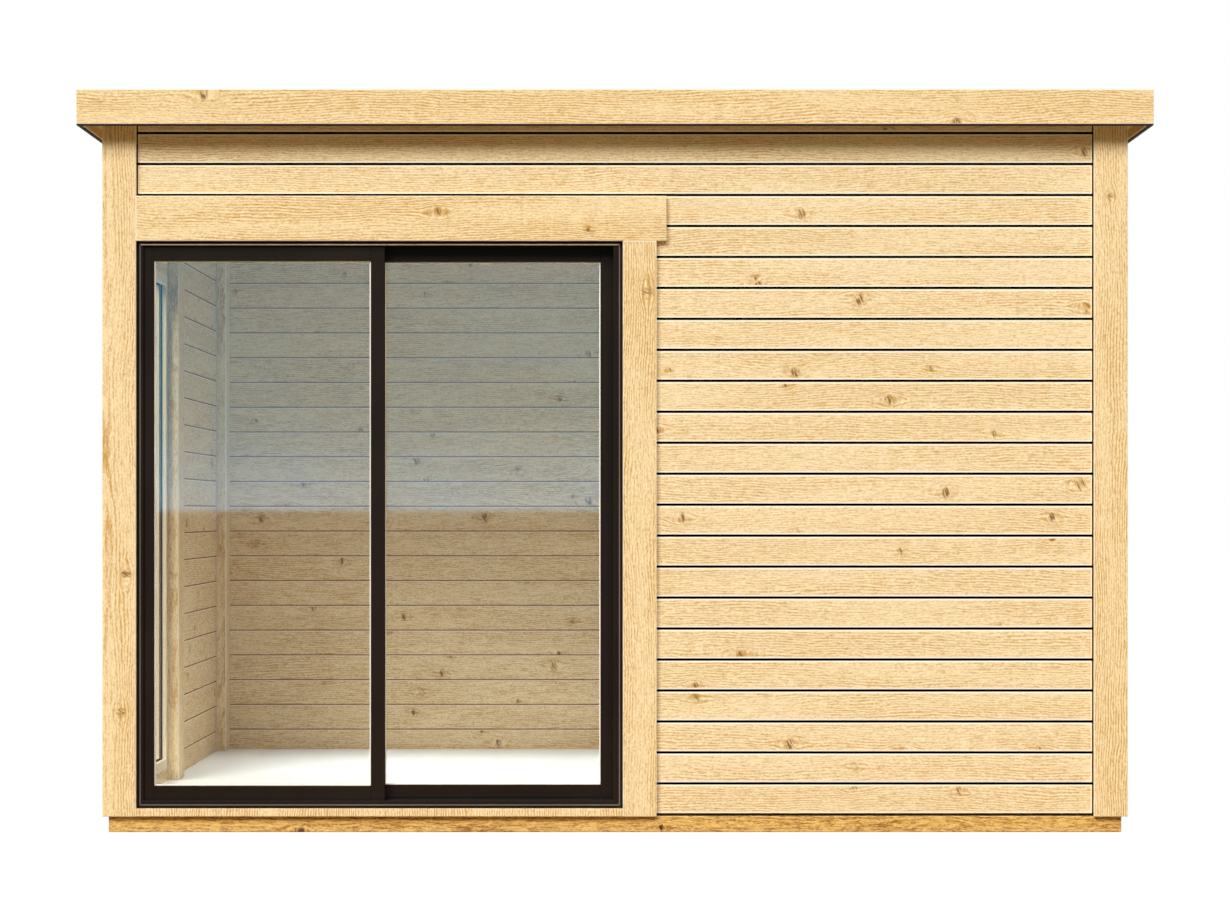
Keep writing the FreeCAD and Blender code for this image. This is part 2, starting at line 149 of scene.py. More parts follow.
class HouseBoards(bpy.types.PropertyGroup):
    """Sizes of the sawn and planed boards."""

    cover: length_property("Board cover", "Height that each wall board covers", 0.111)
    first_joint: length_property("First joint", "Height of the lowest joint above the base beams", 0.006)
    joint_width: length_property("Joint width", "Visible width of the joint between two wall boards", 0.0088)
    joint_depth: length_property("Joint depth", "Depth of the joint on the outside", 0.014)
    inner_chamfer: length_property("Inner chamfer", "Height of the chamfers on the room side", 0.0036)
    # Painted highlight and painted shade: widths of the light strip at the wall boards' ends and of the dark
    # strip beside the corner boards.
    end_edge: length_property("End edge", "Width of the light edge at the wall boards' ends", 0.0042)
    end_shade_width: length_property("End gap", "Width of the shade beside the corner boards", 0.0045)
    inner_joint_width: length_property("Inner joint width", "Width of the joint on the room side", 0.005)
    inner_joint_depth: length_property("Inner joint depth", "Depth of the joint on the room side", 0.004)
    chamfer: length_property("Board chamfer", "Height of the chamfers along the wall boards' edges", 0.0062)
    chamfer_depth: length_property("Chamfer depth", "Depth of the wall boards' chamfers", 0.0003)
    rounding: length_property("Edge rounding", "Rounding of the trim boards' edges", 0.0022)
    post_chamfer: length_property("Post chamfer", "Chamfer of the posts' edges", 0.0045)
    beam_rounding: length_property("Beam rounding", "Rounding of the base beams' edges", 0.003)
    ridge_inset: length_property("Ridge inset", "Distance of the ridge from the trim boards", 0.0095)
    ridge_width: length_property("Ridge width", "Width of the door frame's ridge", 0.0046)
    ridge_height: length_property("Ridge height", "Height of the door frame's ridge", 0.0018)
    window_bite: length_property("Window glass bite", "Depth to which the frame holds the glass", 0.01)
    gasket_thickness: length_property("Gasket thickness", "Thickness of the window's inner gasket", 0.004)
    # Painted shade: height and inset of the dark strip under the fascias.
    shade_strip_height: length_property("Drip strip height", "Height of the dark strip under the fascias", 0.0052)
    shade_strip_inset: length_property("Drip strip inset", "Distance of the strip from the fascias' faces", 0.001)
    strip_proud: length_property("Strip thickness", "Thickness of strips beside corner boards", 0.0006)
    bead_width: length_property("Bead width", "Visible width of a glazing bead", 0.0045)
    bead_height: length_property("Bead height", "Thickness of a glazing bead", 0.004)
    seal_inset: length_property("Seal inset", "Distance of the brush seal from the sash's front face", 0.002)
    seal_drop: length_property("Seal drop", "Height of the brush seal under the sash", 0.01)
    floor_cover: length_property("Floor board cover", "Width that each floor board covers", 0.114)
    roof_cover: length_property("Roof board cover", "Width that each roof board covers", 0.096)
    sheet_width: length_property("Sheet width", "Width that each roofing sheet covers", 0.92)
    sheet_lap: length_property("Sheet lap", "Width of the lap between two roofing sheets", 0.08)
    sheet_thickness: length_property("Sheet thickness", "Thickness of a roofing sheet at its lap", 0.0025)


class HouseColours(bpy.types.PropertyGroup):
    """Colours of the finishes."""

    board_light: colour_property("Board, light", "Early wood of the wall boards", 255, 236, 196)
    board_dark: colour_property("Board, dark", "Late wood of the wall boards", 212, 168, 92)
    trim_light: colour_property("Trim, light", "Early wood of the trim boards", 255, 233, 187)
    trim_dark: colour_property("Trim, dark", "Late wood of the trim boards", 208, 160, 80)
    beam_light: colour_property("Beam, light", "Early wood of the base beams", 246, 204, 120)
    beam_dark: colour_property("Beam, dark", "Late wood of the base beams", 160, 104, 34)
    # Painted highlight: this near-white wood stands in for the light that chamfers, board ends and rounded
    # edges catch.
    highlight_and_pale_wood: colour_property("Board edge", "Freshly cut chamfers beside the joints", 255, 250, 234)
    knot: colour_property("Knot", "Heart of a knot", 196, 138, 62)
    beam_knot: colour_property("Beam knot", "Heart of a knot in a base beam", 92, 40, 16)
    # Painted shade: this near-black stands in for the shade deep inside the outer wall joints.
    joint: colour_property("Joint", "Shade inside the joints of the wall", 9, 6, 5)
    # Painted shade: this brown stands in for the shade in the shallow joints on the room side.
    inner_joint: colour_property("Inner joint", "Joints of the wall on the room side", 138, 92, 46)
    floor_paint: colour_property("Floor paint", "Painted floor boards", 238, 245, 254)
    roofing: colour_property("Roofing", "Roofing sheet", 52, 52, 55)
    frame_coat: colour_property("Frame coat", "Coating of the door's profiles", 35, 26, 21)
    # Painted highlight: this near-white stands in for the line of light round the glass.
    bead: colour_property("Glazing bead", "Bare edge of the beads that hold the glass", 255, 252, 244)
    # Painted highlight: these colours stand in for light on the door frame's ridge, lighter on the top than
    # on the sides.
    ridge: colour_property("Frame ridge", "Bare ridge along the top of the door frame", 246, 238, 228)
    side_ridge: colour_property("Frame side ridge", "Ridge along the sides of the door frame", 104, 97, 91)
    # This black is also the painted shade of the strips under the fascias.
    gasket: colour_property("Gasket", "Rubber gaskets round the glass", 18, 17, 16)
    glass_tint: colour_property("Glass tint", "Colour that the glass lets through", 252, 250, 245)
    low_sky: colour_property("Low sky", "Sky near the horizon that the door glass mirrors", 128, 206, 245)
    high_sky: colour_property("High sky", "Sky higher up that the door glass mirrors", 72, 170, 200)
    low_ground: colour_property("Mirrored ground", "Ground that the door glass mirrors", 60, 83, 103)


class Flow:
    """A value that flows through a material's nodes. Sums on it add Math nodes."""

    def __init__(self, graph, socket):
        self.graph = graph
        self.socket = socket

    def __add__(self, other):
        return self.graph.math("ADD", self, other)

    def __radd__(self, other):
        return self.graph.math("ADD", other, self)

    def __sub__(self, other):
        return self.graph.math("SUBTRACT", self, other)

    def __rsub__(self, other):
        return self.graph.math("SUBTRACT", other, self)

    def __mul__(self, other):
        return self.graph.math("MULTIPLY", self, other)

    def __rmul__(self, other):
        return self.graph.math("MULTIPLY", other, self)

    def __truediv__(self, other):
        return self.graph.math("DIVIDE", self, other)

    def __rtruediv__(self, other):
        return self.graph.math("DIVIDE", other, self)

    def __pow__(self, other):
        return self.graph.math("POWER", self, other)


class Graph:
    """The nodes of a new material or world, and the few ways in which they are made."""

    def __init__(self, owner):
        self.owner = owner
        owner.use_nodes = True
        self.tree = owner.node_tree
        self.tree.nodes.clear()

    def node(self, kind, settings=None, inputs=None, output=0):
        """Any node: its settings first, then its sockets, by name or number. Gives one of its outputs."""
        made = self.tree.nodes.new(kind)
        for key, value in (settings or {}).items():
            setattr(made, key, value)
        for key, value in (inputs or {}).items():
            if isinstance(value, Flow):
                self.tree.links.new(value.socket, made.inputs[key])
            elif value is not None:
                made.inputs[key].default_value = value
        return Flow(self, made.outputs[output]) if made.outputs else made

    def math(self, operation, first, second=None, clamp=False):
        settings = {"operation": operation, "use_clamp": clamp}
        return self.node("ShaderNodeMath", settings, {0: first, 1: second})

    def clamp(self, value):
        return self.math("ADD", value, 0.0, clamp=True)

    def scaled(self, vector, factors):
        return self.node("ShaderNodeVectorMath", {"operation": "MULTIPLY"}, {0: vector, 1: factors})

    def parts(self, vector):
        """The three numbers of a vector."""
        made = self.node("ShaderNodeSeparateXYZ", inputs={0: vector}).socket.node
        return [Flow(self, socket) for socket in made.outputs]

    def vector(self, x, y, z):
        return self.node("ShaderNodeCombineXYZ", inputs={0: x, 1: y, 2: z})

    def noise(self, vector, scale=1.0, detail=2.0, roughness=0.5, distortion=0.0):
        return self.node("ShaderNodeTexNoise", inputs={
            "Vector": vector, "Scale": scale, "Detail": detail,
            "Roughness": roughness, "Distortion": distortion})

    def band(self, value, low, high, to_low=0.0, to_high=1.0):
        """Runs smoothly from to_low to to_high as the value goes from low to high."""
        return self.node("ShaderNodeMapRange", {"interpolation_type": "SMOOTHSTEP"}, {
            "Value": value, "From Min": low, "From Max": high, "To Min": to_low, "To Max": to_high})

    def mix(self, factor, first, second, blend="MIX"):
        """Mixes two colours."""
        colours = [(*c, 1) if isinstance(c, tuple) and len(c) == 3 else c for c in (first, second)]
        settings = {"data_type": "RGBA", "blend_type": blend}
        return self.node("ShaderNodeMix", settings, {0: factor, 6: colours[0], 7: colours[1]}, output=2)

    def bump(self, height, strength, distance):
        inputs = {"Height": height, "Strength": strength, "Distance": distance}
        return self.node("ShaderNodeBump", inputs=inputs)

    def surface(self, inputs):
        """Ends the material in one shader with these sockets."""
        shader = self.node("ShaderNodeBsdfPrincipled", inputs=inputs)
        self.node("ShaderNodeOutputMaterial", inputs={"Surface": shader})
        return self.owner


def new_material(name):
    """The nodes of a new material of this name."""
    return Graph(bpy.data.materials.new(name))


def colour_of(name):
    """One of the colours in the panel."""
    return tuple(getattr(bpy.context.scene.house_colours, name))


def spruce(name, light, dark, lines=0.6, knot_rate=0.38, knot_size=1.0, streak=0.55, heart_colour="knot",
           heart_share=0.3, paint=0.0):
    """Planed softwood. The grain attribute gives metres along, across and into each board."""
    graph = new_material(name)
    place = graph.node("ShaderNodeAttribute", {"attribute_name": GRAIN}, output=1)
    along, across, inward = graph.parts(place)

    cell = graph.vector(along * KNOTS_ALONG, across * KNOTS_ACROSS, 0.0)
    cells = {"voronoi_dimensions": "2D", "feature": "F1"}
    knots = graph.node("ShaderNodeTexVoronoi", cells, {"Vector": cell, "Scale": 1.0}).socket.node
    centre = graph.parts(Flow(graph, knots.outputs["Position"]))
    chance = graph.parts(Flow(graph, knots.outputs["Color"]))
    kept = graph.band(chance[0], 1.0 - knot_rate, 1.01 - knot_rate)
    beside = along - centre[0] / KNOTS_ALONG
    above = across - centre[1] / KNOTS_ACROSS
    size = (0.5 + chance[1] * 0.7) * knot_size
    reach = graph.math("SQRT", (beside / (size * 0.0145)) ** 2.0 + (above / (size * 0.021)) ** 2.0)
    far = graph.math("SQRT", (beside / (size * 0.034)) ** 2.0 + (above / (size * 0.02)) ** 2.0)
    halo = kept * (1.0 - graph.band(far, 0.4, 2.4))

    wander = graph.noise(graph.scaled(place, (1.1, 3.0, 3.0)), detail=2.0) - 0.5
    ripple = graph.noise(graph.scaled(place, (14.0, 26.0, 26.0)), detail=2.0) - 0.5
    flow = across + wander * 0.1 + ripple * 0.009 + above * (1.0 / (1.0 + halo * 1.8) - 1.0)
    radius = graph.math("SQRT", (flow - 0.02) ** 2.0 + (inward + 0.03 + wander * 0.06) ** 2.0)
    late = (graph.math("SINE", radius * RING_FREQUENCY) * 0.5 + 0.5) ** 2.0
    zone = graph.noise(graph.scaled(place, (1.3, 11.0, 11.0)), detail=2.0)
    hair = graph.noise(graph.vector(along * 20.0, flow * 170.0, inward * 170.0), detail=3.0, roughness=0.75)
    fleck = graph.noise(graph.vector(along * 75.0, flow * 210.0, inward * 210.0), detail=2.0, roughness=0.8)
    tone = graph.noise(graph.scaled(place, (0.3, 0.9, 0.9)), detail=1.0)

    slant = (beside + above * 0.4) * 150.0
    slashes = graph.noise(graph.vector(slant, above * 28.0, centre[0]), detail=2.0, distortion=0.4)
    heart = kept * (1.0 - graph.band(reach, 0.45, 1.25))
    mark = heart * graph.band(slashes, 0.47, 0.55)

    depth = graph.clamp(late * lines * graph.band(zone, 0.36, 0.62, 0.25, 0.9) - 0.1
                        + graph.band(hair, 0.38, 0.64) * streak * graph.band(zone, 0.3, 0.6, 0.9, 1.1)
                        + graph.band(tone, 0.35, 0.68) * 0.05 + (fleck - 0.5) * 2.1 + halo * 0.2)
    colour = graph.mix(depth, light, dark)
    colour = graph.mix(heart * heart_share, colour, colour_of(heart_colour))
    deep = tuple(level * 0.4 for level in colour_of(heart_colour))
    colour = graph.mix(mark * 0.9, colour, deep)
    if paint:
        colour = graph.mix(paint, colour, colour_of("floor_paint"))
    relief = fleck * 0.5 + hair * 0.3 - late * 0.35 - mark * 1.2
    return graph.surface({
        "Base Color": colour,
        "Roughness": graph.band(fleck, 0.2, 0.8, 0.52, 0.7),
        "Normal": graph.bump(relief, 0.35, 0.0008),
        "Specular IOR Level": 0.25,
    })


def joint_shade(name, shade_name="joint"):
    """Painted shade: the dark inside of a joint between two boards, which stands in for the shade that falls
    in it.
    """
    graph = new_material(name)
    place = graph.node("ShaderNodeAttribute", {"attribute_name": GRAIN}, output=1)
    fleck = graph.noise(graph.scaled(place, (30.0, 300.0, 300.0)), detail=3.0)
    dark = colour_of(shade_name)
    colour = graph.mix(graph.band(fleck, 0.3, 0.75), dark, tuple(level * 2.2 for level in dark))
    return graph.surface({"Base Color": colour, "Roughness": 0.9, "Specular IOR Level": 0.0})


def coated_metal(name, coat_name="frame_coat"):
    """Powder-coated aluminium: a fine even speckle and a soft sheen."""
    graph = new_material(name)
    place = graph.node("ShaderNodeTexCoord", output=3)
    speckle = graph.noise(place, scale=900.0, detail=3.0, roughness=0.7)
    patch = graph.noise(place, scale=2.5, detail=3.0)
    drawn = graph.noise(graph.scaled(place, (60.0, 60.0, 4.0)), detail=2.0)
    coat = colour_of(coat_name)
    colour = graph.mix(graph.band(speckle, 0.35, 0.75), tuple(level * 0.8 for level in coat),
                       tuple(level * 1.5 for level in coat))
    colour = graph.mix(graph.band(patch, 0.4, 0.7, 0.0, 0.3), colour, tuple(level * 1.7 for level in coat))
    return graph.surface({
        "Base Color": colour,
        "Roughness": graph.band(patch + drawn * 0.2, 0.3, 0.8, 0.4, 0.52),
        "Normal": graph.bump(speckle, 0.1, 0.0003),
        "Specular IOR Level": 0.06,
    })


def rubber(name):
    """Black rubber and nylon with a little dust. The same black is the painted shade of the strips under the
    fascias.
    """
    graph = new_material(name)
    place = graph.node("ShaderNodeTexCoord", output=3)
    dust = graph.noise(place, scale=140.0, detail=4.0)
    base = colour_of("gasket")
    colour = graph.mix(graph.band(dust, 0.45, 0.8), base, tuple(level * 2.5 for level in base))
    return graph.surface({
        "Base Color": colour, "Roughness": 0.72,
        "Normal": graph.bump(dust, 0.2, 0.0004), "Specular IOR Level": 0.25})


def roofing_sheet(name):
    """Mineral roofing sheet with a coarse grit."""
    graph = new_material(name)
    place = graph.node("ShaderNodeTexCoord", output=3)
    grit = graph.noise(place, scale=420.0, detail=4.0, roughness=0.75)
    stain = graph.noise(place, scale=1.6, detail=4.0)
    base = colour_of("roofing")
    colour = graph.mix(graph.band(grit, 0.35, 0.75), tuple(level * 0.55 for level in base),
                       tuple(level * 2.0 for level in base))
    colour = graph.mix(graph.band(stain, 0.45, 0.75, 0.0, 0.3), colour, tuple(level * 2.6 for level in base))
    return graph.surface({
        "Base Color": colour, "Roughness": graph.band(grit, 0.3, 0.7, 0.78, 0.95),
        "Normal": graph.bump(grit, 0.5, 0.0015), "Specular IOR Level": 0.2})


def window_glass(name, mirror=0.1, rim=0.3):
    """Coated glass: each face lets most light through and mirrors more of it at a flat angle."""
    graph = new_material(name)
    place = graph.node("ShaderNodeTexCoord", output=3)
    film = graph.noise(place, scale=2.2, detail=3.0)
    edge_on = graph.node("ShaderNodeLayerWeight", inputs={"Blend": 0.3}, output=1)
    share = graph.clamp(graph.band(film, 0.3, 0.7, mirror * 0.92, mirror * 1.08) + (edge_on ** 4.0) * rim)
    clear = graph.node("ShaderNodeBsdfTransparent", inputs={"Color": (*colour_of("glass_tint"), 1)})
    coat = graph.node("ShaderNodeBsdfPrincipled", inputs={
        "Base Color": (0.92, 0.96, 1.0, 1), "Metallic": 1.0, "Roughness": 0.03})
    mixed = graph.node("ShaderNodeMixShader", inputs={0: share, 1: clear, 2: coat})
    graph.node("ShaderNodeOutputMaterial", inputs={"Surface": mixed})
    return graph.owner


MATERIALS = {}


def material(name):
    """Each finish, made once when it is first needed."""
    if name not in MATERIALS:
        MATERIALS[name] = FINISHES[name](name)
    return MATERIALS[name]


FINISHES = {
    "wall_spruce": lambda name: spruce(name, colour_of("board_light"), colour_of("board_dark")),
    # Painted highlight: a wood lighter than the boards, for edges that catch the light. The side window's
    # frame is made of it too.
    "edge_spruce": lambda name: spruce(name, colour_of("highlight_and_pale_wood"), colour_of("board_light"),
                                       knot_rate=0.0),
    "trim_spruce": lambda name: spruce(name, colour_of("trim_light"), colour_of("trim_dark"), lines=0.8,
                                       knot_rate=0.3, streak=0.5),
    "frame_spruce": lambda name: spruce(name, colour_of("board_light"), colour_of("board_dark"),
                                        knot_rate=0.2),
    "base_spruce": lambda name: spruce(name, colour_of("beam_light"), colour_of("beam_dark"), lines=0.5,
                                       streak=0.8, knot_rate=0.5, knot_size=0.9,
                                       heart_colour="beam_knot", heart_share=0.95),
    "painted_floor": lambda name: spruce(name, colour_of("board_light"), colour_of("board_dark"), paint=0.95),
    "joint_shade": joint_shade,
    "inner_shade": lambda name: joint_shade(name, "inner_joint"),
    "glazing_bead": lambda name: coated_metal(name, "bead"),
    "frame_ridge": lambda name: coated_metal(name, "ridge"),
    "frame_side_ridge": lambda name: coated_metal(name, "side_ridge"),
    "coated_metal": coated_metal,
    "rubber": rubber,
    "roofing": roofing_sheet,
    "glass": window_glass,
    "side_glass": lambda name: window_glass(name, mirror=0.02, rim=0.05),
}


def islands(mesh):
    """The separate closed solids of a mesh under construction, as lists of vertices."""
    left = set(mesh.verts)
    found = []
    while left:
        front = [left.pop()]
        island = []
        while front:
            vertex = front.pop()
            island.append(vertex)
            for edge in vertex.link_edges:
                other = edge.other_vert(vertex)
                if other in left:
                    left.remove(other)
                    front.append(other)
        found.append(island)
    found.sort(key=lambda island: tuple(min(round(v.co[axis], 4) for v in island) for axis in range(3)))
    return found


def extent(vertices):
    """Low and high corner of some vertices."""
    return [Vector(pick(v.co[axis] for v in vertices) for axis in range(3)) for pick in (min, max)]


def grain_layer(mesh):
    """The grain attribute of a mesh under construction."""
    return mesh.verts.layers.float_vector.get(GRAIN) or mesh.verts.layers.float_vector.new(GRAIN)


def lay_grain(mesh, seed=0.0, order=None):
    """Gives each solid a grain that runs along its longest side, and a stretch of wood of its own."""
    layer = grain_layer(mesh)
    for number, island in enumerate(islands(mesh)):
        low, high = extent(island)
        axes = order or sorted(range(3), key=lambda axis: high[axis] - low[axis], reverse=True)
        start = seed + number * SEED_STEP
        for vertex in island:
            local = [vertex.co[axis] - low[axis] for axis in axes]
            vertex[layer] = (local[0] + start, local[1] + start * SEED_ACROSS, local[2])


def finish_piece(mesh, name, body, materials, replaced=()):
    """Turns a mesh under construction into a piece that rides on a body."""
    data = bpy.data.meshes.new(name)
    mesh.normal_update()
    mesh.to_mesh(data)
    mesh.free()
    for finish in materials:
        data.materials.append(material(finish))
    piece = bpy.data.objects.new(name, data)
    bpy.context.scene.collection.objects.link(piece)
    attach(piece, body)
    if replaced:
        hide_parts(*replaced)
    return piece


def node_body(node):
    return frame["nodes"][node]["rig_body"]


def node_solids(node):
    """The node's own solids as clean faces, ready to be worked on."""
    mesh = bmesh.new()
    mesh.from_mesh(frame["nodes"][node].data)
    bmesh.ops.remove_doubles(mesh, verts=mesh.verts, dist=WELD_DISTANCE)
    bmesh.ops.dissolve_limit(mesh, angle_limit=math.radians(FLAT_ANGLE), verts=mesh.verts, edges=mesh.edges)
    return mesh


def solid_boxes(node):
    """Low and high corner of each solid of a node."""
    mesh = node_solids(node)
    boxes = [extent(island) for island in islands(mesh)]
    mesh.free()
    return boxes


def soften(mesh, width, segments=2, mark=-1):
    """Rounds the sharp edges. mark gives the roundings a material number of their own."""
    sharp = [edge for edge in mesh.edges
             if edge.is_manifold and edge.calc_face_angle() > math.radians(SHARP_ANGLE)]
    bmesh.ops.bevel(mesh, geom=sharp, offset=width, segments=segments, profile=0.5, affect="EDGES",
                    clamp_overlap=True, loop_slide=True, material=mark)


def softened_copy(node, finish, width, seed=0.0, segments=2, order=None, edge_finish=None):
    """A piece with the node's own shape, with rounded edges and grain. edge_finish gives the roundings a
    finish of their own, a painted highlight.
    """
    mesh = node_solids(node)
    soften(mesh, width, segments, 1 if edge_finish else -1)
    lay_grain(mesh, seed, order)
    finishes = [finish, edge_finish] if edge_finish else [finish]
    return finish_piece(mesh, f"{node}_dressed", node_body(node), finishes, [node])


def add_bar(mesh, section, axis, start, end, origin, outward, marks=None, seed=0.0):
    """Adds a closed bar: a section of (depth, height) corners, drawn from start to end along X or Y.

    outward is +1 or -1, the side on which depth 0 lies, and origin the place of that face.
    marks gives the material number of each section edge."""
    layer = grain_layer(mesh)
    rings = []
    base = min(height for depth, height in section)
    for place in (start, end):
        ring = []
        for depth, height in section:
            across = origin - outward * depth
            point = (place, across, height) if axis == 0 else (across, place, height)
            vertex = mesh.verts.new(point)
            vertex[layer] = (place + seed, height - base + seed * SEED_ACROSS, depth)
            ring.append(vertex)
        rings.append(ring)
    count = len(section)
    faces = []
    for n in range(count):
        after = (n + 1) % count
        face = mesh.faces.new((rings[0][n], rings[0][after], rings[1][after], rings[1][n]))
        face.material_index = marks[n] if marks else 0
        faces.append(face)
    faces.append(mesh.faces.new(list(reversed(rings[0]))))
    faces.append(mesh.faces.new(rings[1]))
    bmesh.ops.recalc_face_normals(mesh, faces=faces)


def cut_level(section, marks, level, keep_above):
    """Cuts a section along a level line and keeps what is above or below it."""
    kept, kept_marks = [], []
    count = len(section)
    for n in range(count):
        (d0, h0), (d1, h1) = section[n], section[(n + 1) % count]
        inside0 = h0 >= level if keep_above else h0 <= level
        inside1 = h1 >= level if keep_above else h1 <= level
        if inside0:
            kept.append((d0, h0))
            kept_marks.append(marks[n])
        if inside0 != inside1 and abs(h1 - h0) > 1e-9:
            share = (level - h0) / (h1 - h0)
            kept.append((d0 + (d1 - d0) * share, level))
            kept_marks.append(0 if inside0 else marks[n])
    clean, clean_marks = [], []
    for point, mark in zip(kept, kept_marks):
        if not clean or math.dist(point, clean[-1]) > 1e-6:
            clean.append(point)
            clean_marks.append(mark)
    return clean, clean_marks


def wall_board_section(low, high, thickness, sizes):
    """The outline of one wall board between two joints, with the material numbers of the painted shade inside
    the joints (1 outside, 3 on the room side) and of the painted highlight on the chamfers (2).
    """
    gap = sizes.joint_width / 2
    deep = sizes.joint_depth
    edge = sizes.chamfer
    inner_edge = sizes.inner_chamfer
    inner_gap = sizes.inner_joint_width / 2
    inner = thickness - sizes.inner_joint_depth
    points = [
        ((0.0, low + gap + edge), 0),
        ((0.0, high - gap - edge), 2),
        ((sizes.chamfer_depth, high - gap), 1),
        ((deep, high - gap), 1),
        ((deep, high), 0),
        ((inner, high), 3),
        ((inner, high - inner_gap), 3),
        ((thickness - sizes.chamfer_depth, high - inner_gap), 2),
        ((thickness, high - inner_gap - inner_edge), 0),
        ((thickness, low + inner_gap), 3),
        ((inner, low + inner_gap), 3),
        ((inner, low), 0),
        ((deep, low), 1),
        ((deep, low + gap), 1),
        ((sizes.chamfer_depth, low + gap), 2),
    ]
    return [point for point, mark in points], [mark for point, mark in points]


def wall_boards(node, axis, outward):
    """Lays boards one on another in each solid of a wall node."""
    sizes = bpy.context.scene.house_boards
    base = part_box("base_beams_long")[1].z
    mesh = bmesh.new()
    for low, high in solid_boxes(node):
        thickness = high[1 - axis] - low[1 - axis]
        origin = high[1 - axis] if outward > 0 else low[1 - axis]
        number = 0
        joint = base + sizes.first_joint - sizes.cover
        while joint < high.z:
            top = joint + sizes.cover
            section, marks = wall_board_section(joint, top, thickness, sizes)
            if joint < low.z:
                section, marks = cut_level(section, marks, low.z, True)
            if top > high.z:
                section, marks = cut_level(section, marks, high.z, False)
            if len(section) > 3 and top > low.z + sizes.joint_width:
                seed = SEED_STEP * number + 1.7 * len(node)
                add_bar(mesh, section, axis, low[axis], high[axis], origin, outward, marks, seed)
            joint = top
            number += 1
    return finish_piece(mesh, f"{node}_boards", node_body(node),
                        ["wall_spruce", "joint_shade", "edge_spruce", "inner_shade"], [node])


class HouseOperator(bpy.types.Operator):
    """Base of this file's operators."""

    bl_options = {"REGISTER", "UNDO"}


class GARDEN_OT_wall_boards(HouseOperator):
    """Lay the level boards of the four walls"""

    bl_idname = "garden.wall_boards"
    bl_label = "Wall Boards"

    def execute(self, context):
        for node in ("front_wall_beside_door", "front_wall_over_door"):
            wall_boards(node, 0, -1)
        wall_boards("back_wall", 0, 1)
        wall_boards("right_wall", 1, 1)
        for node in ("left_wall_beside_window", "left_wall_over_window", "left_wall_under_window"):
            wall_boards(node, 1, -1)
        return {"FINISHED"}


def corner_lines():
    """Painted shade between the corner boards and the wall boards, and a painted highlight at the ends of
    those boards: thin dark and light strips laid on the wall.
    """
    sizes = bpy.context.scene.house_boards
    header_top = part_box("door_header_trim")[1].z
    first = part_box("base_beams_long")[1].z + sizes.first_joint - sizes.cover
    shade, ends = bmesh.new(), bmesh.new()
    # The first strips are painted shade, the second painted highlights.
    strips = ((shade, 0.0, sizes.end_shade_width, 0.0),
              (ends, sizes.end_shade_width, sizes.end_shade_width + sizes.end_edge, sizes.joint_width / 2))
    for node, along in (("end_corner_boards", 0), ("side_corner_boards", 1)):
        for low, high in solid_boxes(node):
            side = -1 if low[along] > 0 else 1
            out = 1 if low[1 - along] > 0 else -1
            edge = low[along] if side < 0 else high[along]
            face = low[1 - along] if out > 0 else high[1 - along]
            beside_header = along == 0 and out < 0 and side > 0
            bottom = header_top if beside_header else low.z
            for mesh, start, end, gap in strips:
                corners = [Vector(), Vector()]
                for axis, values in ((along, (edge + side * start, edge + side * end)),
                                     (1 - along, (face, face + out * sizes.strip_proud))):
                    corners[0][axis], corners[1][axis] = min(values), max(values)
                joint = first
                while joint < high.z:
                    corners[0].z = max(bottom, joint + gap)
                    corners[1].z = min(high.z, joint + sizes.cover - gap)
                    if corners[1].z - corners[0].z > sizes.joint_width:
                        add_block(mesh, *corners)
                    joint += sizes.cover
    wall = "front_wall_beside_door"
    for mesh, name, finish in ((shade, "corner_shade_lines", "joint_shade"),
                               (ends, "board_end_edges", "edge_spruce")):
        lay_grain(mesh)
        finish_piece(mesh, name, node_body(wall), [finish])


def fascia_shade_strips():
    """Painted shade: the dark strip that runs round under the fascias, standing in for the shade at their
    bottom edges.
    """
    sizes = bpy.context.scene.house_boards
    low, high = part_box("fascias_long")
    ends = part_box("fascias_short")
    left = min(low.x, ends[0].x) + sizes.shade_strip_inset
    right = max(high.x, ends[1].x) - sizes.shade_strip_inset
    front = min(low.y, ends[0].y) + sizes.shade_strip_inset
    back = max(high.y, ends[1].y) - sizes.shade_strip_inset
    thick = SHADE_STRIP_THICKNESS
    bottom, top = low.z - sizes.shade_strip_height, low.z
    mesh = bmesh.new()
    add_block(mesh, (left, front, bottom), (right, front + thick, top))
    add_block(mesh, (left, back - thick, bottom), (right, back, top))
    add_block(mesh, (left, front + thick, bottom), (left + thick, back - thick, top))
    add_block(mesh, (right - thick, front + thick, bottom), (right, back - thick, top))
    soften(mesh, sizes.shade_strip_height / 4, 1)
    lay_grain(mesh)
    finish_piece(mesh, "fascia_drip_strips", node_body("fascias_long"),
                 ["rubber"])


class GARDEN_OT_trim_boards(HouseOperator):
    """Fit the corner boards, the trim round the door and window, and the fascias"""

    bl_idname = "garden.trim_boards"
    bl_label = "Trim Boards and Fascias"

    def execute(self, context):
        width = context.scene.house_boards.rounding
        softened_copy("door_sill_strip", "trim_spruce", width, seed=1.9, order=(2, 0, 1))
        nodes = ("end_corner_boards", "side_corner_boards", "door_header_trim", "door_side_trim",
                 "window_casings_upright", "window_casings_level", "fascias_long", "fascias_short")
        for number, node in enumerate(nodes):
            # The trim's rounded edges take the painted highlight wood.
            softened_copy(node, "trim_spruce", width, seed=number * 3.1, edge_finish="edge_spruce")
        corner_lines()
        fascia_shade_strips()
        return {"FINISHED"}


class GARDEN_OT_base(HouseOperator):
    """Set the base beams and joists on the ground"""

    bl_idname = "garden.base"
    bl_label = "Base Beams"

    def execute(self, context):
        width = context.scene.house_boards.beam_rounding
        beams = (("base_beams_long", (0, 2, 1)), ("base_beams_short", (1, 2, 0)), ("floor_joists", (1, 2, 0)))
        for number, (node, order) in enumerate(beams):
            softened_copy(node, "base_spruce", width, seed=number * 5.3, order=order)
        softened_copy("door_sill_beam", "frame_spruce", width)
        return {"FINISHED"}


